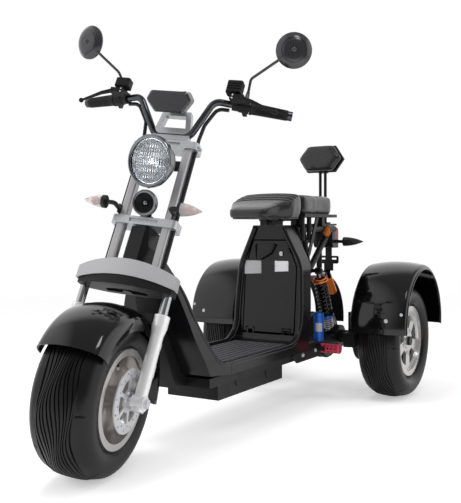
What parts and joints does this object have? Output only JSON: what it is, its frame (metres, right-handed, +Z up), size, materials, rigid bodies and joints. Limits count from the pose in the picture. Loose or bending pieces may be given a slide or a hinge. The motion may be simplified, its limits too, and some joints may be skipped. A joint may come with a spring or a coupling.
{
  "type": "electric trike",
  "caption": "Three-wheeled electric scooter: steered front wheel on a long telescopic fork, flat floor, two driven rear wheels, two seats and backrest.",
  "frame": {"origin": "ground level, midway along the length, on the centre line", "axes": "-Y is forwards, +X is the vehicle's left, +Z is up"},
  "size_m": [0.978, 1.9145, 1.3701],
  "materials": {
    "amber_lens": "moulded lens",
    "black_body": "gloss",
    "black_steel": "satin powder coat",
    "blue_anodised": "anodised",
    "cast_silver": "cast, painted silver",
    "chrome": "polished",
    "clear_lens": "clear",
    "grey_cover": "satin silver grey",
    "grey_tube": "satin anodised",
    "mat": "ribbed",
    "matte_black": "matte",
    "milled_silver": "milled, anodised",
    "mirror_glass": "silvered",
    "orange_anodised": "anodised",
    "red_anodised": "anodised",
    "red_lens": "moulded lens",
    "rubber": "matte",
    "seat_leather": "grained",
    "steel": "brushed",
    "tyre": "moulded"
  },
  "bodies": {
    "body": {"backrest_frame": "black_steel", "backrest_pad": "seat_leather", "battery_tray": "black_steel", "blue_canisters": "blue_anodised", "centre_guard": "matte_black", "floor_mat": "mat", "floor_panel": "black_body", "frame_brackets": "black_steel", "leg_shield": "black_body", "main_frame": "black_steel", "neck_cover": "matte_black", "orange_canisters": "orange_anodised", "passenger_pad": "seat_leather", "plate_bracket": "black_steel", "rear_axle": "cast_silver", "rear_calipers": "cast_silver", "rear_guard_left": "black_body", "rear_guard_right": "black_body", "rear_indicators": "clear_lens", "rider_saddle": "seat_leather", "seat_base": "black_steel", "seat_tower": "black_body", "shock_bodies": "milled_silver", "shock_springs": "black_steel", "side_reflectors": "amber_lens", "swing_arms": "black_steel", "tail_lamp": "red_lens"},
    "steering": {"fork_crown": "black_steel", "crown_cover": "grey_cover", "upper_fork_tubes": "grey_tube", "stanchions": "chrome", "sliders": "cast_silver", "yokes": "milled_silver", "handlebar": "chrome", "grips": "rubber", "switchgear": "matte_black", "brake_levers": "matte_black", "mirrors": "matte_black", "mirror_glasses": "mirror_glass", "display": "matte_black", "headlight": "chrome", "headlight_lens": "clear_lens", "lamp_brackets": "black_steel", "horn": "chrome", "front_indicators": "clear_lens", "cables": "rubber", "front_axle": "steel", "front_guard": "black_body", "front_guard_stays": "black_steel", "front_caliper": "cast_silver"},
    "front_wheel": {"front_tyre": "tyre", "front_rim": "chrome", "front_brake_disc": "steel"},
    "rear_wheel_left": {"rear_tyre_left": "tyre", "rear_rim_left": "cast_silver"},
    "rear_wheel_right": {"rear_tyre_right": "tyre", "rear_rim_right": "cast_silver"},
    "door": {"battery_door": "black_body"},
    "peg_left": {"foot_peg_left": "red_anodised"},
    "peg_right": {"foot_peg_right": "red_anodised"}
  },
  "joints": [
    {"name": "steering_turn", "type": "hinge", "parent": "body", "child": "steering", "pos_m": [0, -0.82743, 0], "axis": [0, 0.4399, 0.898], "range_deg": [-52.6, 23.4]},
    {"name": "front_wheel_spin", "type": "hinge", "parent": "steering", "child": "front_wheel", "pos_m": [0.00328, -0.72935, 0.22881], "axis": [0.9677, 0.2264, -0.1109], "continuous": true},
    {"name": "rear_left_wheel_spin", "type": "hinge", "parent": "body", "child": "rear_wheel_left", "pos_m": [0.3635, 0.70027, 0.229], "axis": [1, 0, 0], "continuous": true},
    {"name": "rear_right_wheel_spin", "type": "hinge", "parent": "body", "child": "rear_wheel_right", "pos_m": [-0.3635, 0.70027, 0.229], "axis": [1, 0, 0], "continuous": true},
    {"name": "door_swing", "type": "hinge", "parent": "body", "child": "door", "pos_m": [0, 0.28927, 0.295], "axis": [1, 0, 0], "range_deg": [0, 75]},
    {"name": "peg_left_fold", "type": "hinge", "parent": "body", "child": "peg_left", "pos_m": [0.167, 0.44627, 0.214], "axis": [0, -1, 0], "range_deg": [0, 80]},
    {"name": "peg_right_fold", "type": "hinge", "parent": "body", "child": "peg_right", "pos_m": [-0.167, 0.44627, 0.214], "axis": [0, 1, 0], "range_deg": [0, 80]}
  ]
}
